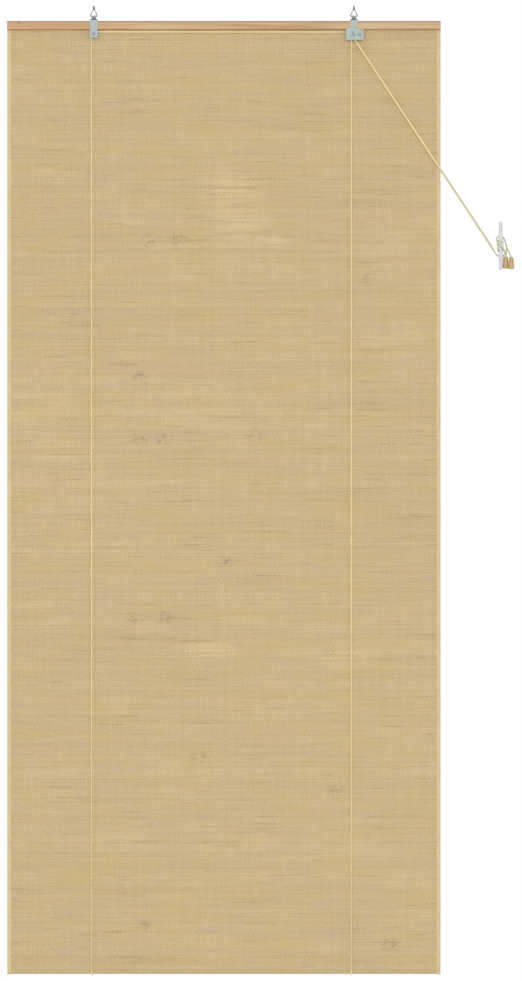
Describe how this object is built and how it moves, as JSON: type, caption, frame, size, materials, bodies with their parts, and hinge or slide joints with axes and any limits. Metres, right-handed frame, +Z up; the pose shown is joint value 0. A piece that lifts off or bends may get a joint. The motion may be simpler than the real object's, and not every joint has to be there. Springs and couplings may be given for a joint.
{
  "type": "bamboo roll up blind",
  "caption": "Woven bamboo window blind on a wooden batten, lifted by slung cords over pulleys, with a cord lock, wire hangers, a wall cleat and wooden pulls.",
  "frame": {"origin": "on the hanging line, midway between the insides of the two hanger hooks", "axes": "+X along the head rail to the right as seen from the room, +Y towards the window, +Z up"},
  "size_m": [1.1702, 0.0293, 2.2393],
  "materials": {
    "bamboo": "matte",
    "edge_tape": "matte",
    "pine": "satin",
    "zinc": "satin",
    "hanger_wire": "satin",
    "pulley_plastic": "matte",
    "cord": "matte",
    "turned_wood": "satin",
    "white_plastic": "satin"
  },
  "bodies": {
    "head": {"head_rail": "pine", "mat": "bamboo", "left_edge_tape": "edge_tape", "right_edge_tape": "edge_tape", "mat_staples": "zinc", "left_bracket": "zinc", "left_axle": "zinc", "lock_bracket": "zinc", "brake_rivet": "zinc", "brake_bush": "pulley_plastic", "bracket_nails": "hanger_wire", "left_cord_eye": "hanger_wire", "right_cord_eye": "hanger_wire", "left_pull": "turned_wood", "right_pull": "turned_wood", "cleat": "white_plastic", "left_back_cord": "cord", "right_back_cord": "cord", "left_front_cord": "cord", "right_front_cord": "cord", "left_guide_cord": "cord", "right_guide_cord": "cord", "left_pull_cord": "cord", "right_pull_cord": "cord"},
    "bottom": {"bottom_rail": "pine", "bottom_hem": "bamboo", "left_sling_cord": "cord", "right_sling_cord": "cord"},
    "left_pulley": {"left_pulley": "pulley_plastic"},
    "lock_axle": {"lock_axle": "zinc"},
    "lock_pulley": {"lock_pulley": "pulley_plastic"},
    "left_hanger": {"left_hanger": "hanger_wire"},
    "right_hanger": {"right_hanger": "hanger_wire"}
  },
  "joints": [
    {"name": "lift", "type": "slide", "parent": "head", "child": "bottom", "axis": [0, 0, 1], "range_m": [0, 2.05], "deforming": ["mat", "left_edge_tape", "right_edge_tape", "left_front_cord", "right_front_cord", "left_back_cord", "right_back_cord"]},
    {"name": "left_pulley_spin", "type": "hinge", "parent": "head", "child": "left_pulley", "pos_m": [-0.3, -0.004, -0.064], "axis": [0, 1, 0], "continuous": true},
    {"name": "lock_slide", "type": "slide", "parent": "head", "child": "lock_axle", "axis": [-0.4067, 0, 0.9135], "range_m": [0, 0.004], "deforming": ["left_guide_cord", "right_guide_cord"]},
    {"name": "lock_pulley_spin", "type": "hinge", "parent": "lock_axle", "child": "lock_pulley", "pos_m": [0.299, -0.004, -0.064], "axis": [0, 1, 0], "continuous": true},
    {"name": "left_hanger_swing", "type": "hinge", "parent": "head", "child": "left_hanger", "pos_m": [-0.3, -0.004, -0.023], "axis": [1, 0, 0], "range_deg": [-90, 90]},
    {"name": "right_hanger_swing", "type": "hinge", "parent": "head", "child": "right_hanger", "pos_m": [0.3, -0.004, -0.023], "axis": [1, 0, 0], "range_deg": [-90, 90]}
  ]
}
